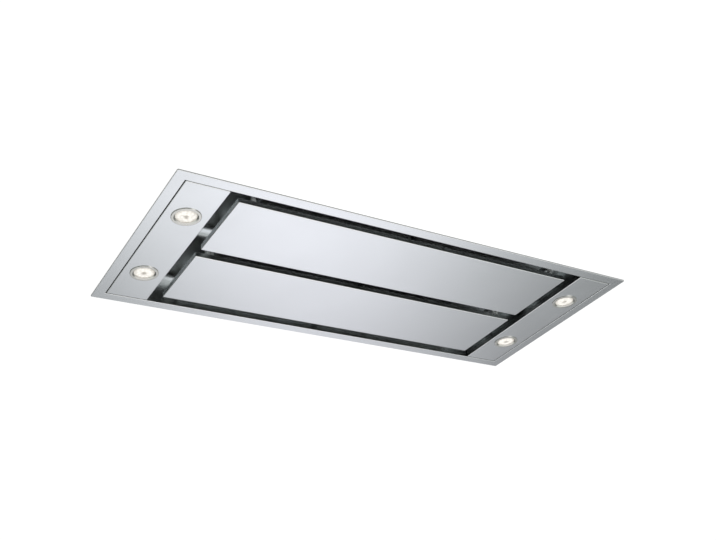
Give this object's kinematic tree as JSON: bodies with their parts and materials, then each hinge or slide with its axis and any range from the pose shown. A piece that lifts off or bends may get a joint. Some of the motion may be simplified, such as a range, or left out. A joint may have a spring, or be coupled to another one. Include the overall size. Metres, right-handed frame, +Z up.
{
  "type": "range hood",
  "caption": "Flush ceiling range hood in brushed steel with two drop-down suction panels, grease filters, spot lamps and a ducted blower",
  "frame": {"origin": "centre of the ceiling cut-out, on the ceiling plane that the trim frame's hem rests against", "axes": "+X along the long side, +Y towards the duct outlet at the rear, +Z up into the ceiling void"},
  "size_m": [1.2, 0.53, 0.269],
  "materials": {
    "brushed_stainless": "fine brushed",
    "polished_stainless": "polished",
    "galvanised_sheet": "galvanised",
    "zinc_hardware": "zinc plated",
    "filter_aluminium": "satin",
    "lamp_chrome": "bright",
    "lamp_glass": "frosted",
    "reflector_metal": "bright",
    "bulb_glass": "clear",
    "lamp_ceramic": "matt",
    "wheel_plastic": "moulded",
    "collar_plastic": "moulded",
    "motor_casing": "satin",
    "black_rubber": "matt",
    "box_plastic": "moulded",
    "white_plastic": "satin",
    "latch_plastic": "satin",
    "board_laminate": "laminate"
  },
  "bodies": {
    "root": {"trim_frame": "brushed_stainless", "filter_tray": "polished_stainless", "body_top": "galvanised_sheet", "inlet_ring": "galvanised_sheet", "scroll_base": "galvanised_sheet", "scroll_wrap": "galvanised_sheet", "scroll_top": "galvanised_sheet", "outlet_transition": "galvanised_sheet", "outlet_collar": "collar_plastic", "damper_spindle": "zinc_hardware", "motor": "motor_casing", "motor_grommets": "black_rubber", "control_box": "box_plastic", "control_box_lid": "box_plastic", "lamp_driver": "white_plastic", "terminal_block": "white_plastic", "control_board": "board_laminate", "cable_gland": "latch_plastic", "capacitor": "white_plastic", "hanger_brackets": "zinc_hardware", "body_screws": "zinc_hardware", "light_panel_clips": "zinc_hardware", "hinge_brackets": "zinc_hardware", "hinge_pins": "zinc_hardware", "panel_catches": "white_plastic", "lamp_bezels": "lamp_chrome", "lamp_lenses": "lamp_glass", "lamp_reflectors": "reflector_metal", "lamp_bulbs": "bulb_glass", "lamp_holders": "lamp_ceramic", "body_front_wall": "galvanised_sheet", "front_left_filter_frame": "filter_aluminium", "front_left_filter_mesh": "filter_aluminium", "front_right_filter_frame": "filter_aluminium", "front_right_filter_mesh": "filter_aluminium", "body_rear_wall": "galvanised_sheet", "rear_left_filter_frame": "filter_aluminium", "rear_left_filter_mesh": "filter_aluminium", "rear_right_filter_frame": "filter_aluminium", "rear_right_filter_mesh": "filter_aluminium", "body_left_wall": "galvanised_sheet", "left_light_panel": "brushed_stainless", "body_right_wall": "galvanised_sheet", "right_light_panel": "brushed_stainless"},
    "front_panel": {"front_panel": "brushed_stainless", "front_hinge_arms": "zinc_hardware", "front_strikers": "zinc_hardware"},
    "front_left_latch": {"front_left_filter_latch": "latch_plastic"},
    "front_right_latch": {"front_right_filter_latch": "latch_plastic"},
    "rear_panel": {"rear_panel": "brushed_stainless", "rear_hinge_arms": "zinc_hardware", "rear_strikers": "zinc_hardware"},
    "rear_left_latch": {"rear_left_filter_latch": "latch_plastic"},
    "rear_right_latch": {"rear_right_filter_latch": "latch_plastic"},
    "blower_wheel": {"wheel_plate": "wheel_plastic", "wheel_blades": "wheel_plastic", "wheel_ring": "wheel_plastic", "motor_shaft": "zinc_hardware"},
    "damper_left": {"damper_flap_left": "collar_plastic"},
    "damper_right": {"damper_flap_right": "collar_plastic"}
  },
  "joints": [
    {"name": "front_panel_hinge", "type": "hinge", "parent": "root", "child": "front_panel", "pos_m": [0, -0.202, 0.016], "axis": [-1, 0, 0], "range_deg": [0, 90]},
    {"name": "front_left_latch_slide", "type": "slide", "parent": "root", "child": "front_left_latch", "axis": [0, -1, 0], "range_m": [0, 0.007], "stiffness_N_per_m": 250},
    {"name": "front_right_latch_slide", "type": "slide", "parent": "root", "child": "front_right_latch", "axis": [0, -1, 0], "range_m": [0, 0.007], "stiffness_N_per_m": 250},
    {"name": "rear_panel_hinge", "type": "hinge", "parent": "root", "child": "rear_panel", "pos_m": [0, 0.202, 0.016], "axis": [1, 0, 0], "range_deg": [0, 90]},
    {"name": "rear_left_latch_slide", "type": "slide", "parent": "root", "child": "rear_left_latch", "axis": [0, 1, 0], "range_m": [0, 0.007], "stiffness_N_per_m": 250},
    {"name": "rear_right_latch_slide", "type": "slide", "parent": "root", "child": "rear_right_latch", "axis": [0, 1, 0], "range_m": [0, 0.007], "stiffness_N_per_m": 250},
    {"name": "blower_spin", "type": "hinge", "parent": "root", "child": "blower_wheel", "pos_m": [0, 0, 0.15], "axis": [0, 0, 1], "continuous": true},
    {"name": "damper_left_hinge", "type": "hinge", "parent": "root", "child": "damper_left", "pos_m": [0.074, 0.213, 0.176], "axis": [0, 0, -1], "range_deg": [0, 75], "stiffness_Nm_per_rad": 0.01},
    {"name": "damper_right_hinge", "type": "hinge", "parent": "root", "child": "damper_right", "pos_m": [0.074, 0.213, 0.176], "axis": [0, 0, 1], "range_deg": [0, 75], "stiffness_Nm_per_rad": 0.01}
  ]
}
